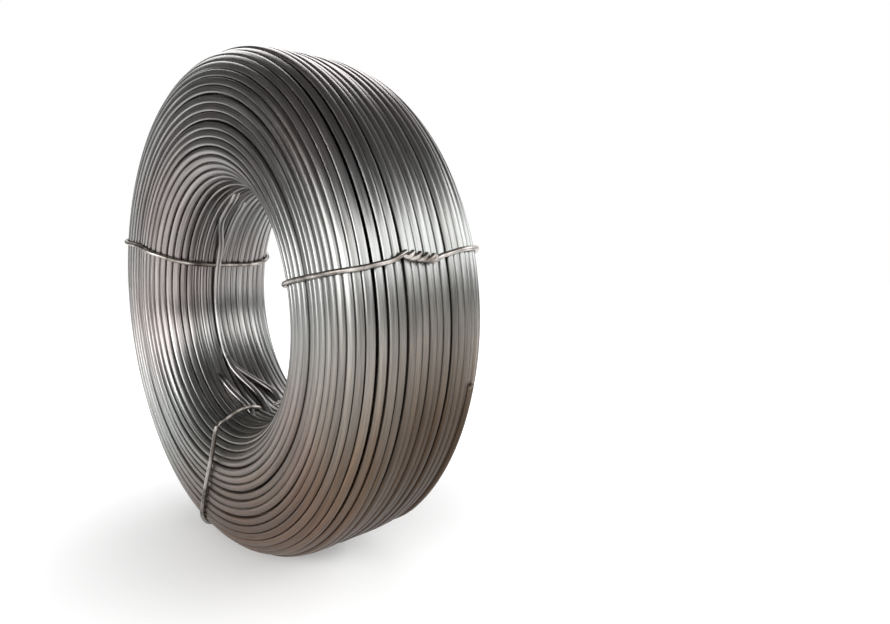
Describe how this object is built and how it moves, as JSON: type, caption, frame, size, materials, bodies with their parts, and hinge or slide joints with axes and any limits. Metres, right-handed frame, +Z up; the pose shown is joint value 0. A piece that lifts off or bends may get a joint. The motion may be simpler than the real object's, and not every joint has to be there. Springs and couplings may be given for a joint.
{
  "type": "coil of wire rod",
  "caption": "Coil of bright steel wire rod standing on its rim, wound layer on layer around an open eye and held by thinner twisted tie wires.",
  "frame": {"origin": "on the floor under the middle of the coil, which stands on its rim", "axes": "+Z up, the eye of the coil along Y, its front face towards -Y"},
  "size_m": [0.7049, 0.2243, 0.7],
  "materials": {
    "rod_steel": "bright drawn steel with dull grey and brown patches and fine lines along the rod",
    "tie_steel": "bright drawn wire, lighter than the coil"
  },
  "bodies": {
    "root": {"wire_coil": "rod_steel", "tie_wire_left": "tie_steel", "tie_wire_right": "tie_steel", "tie_wire_lower": "tie_steel"}
  },
  "joints": []
}
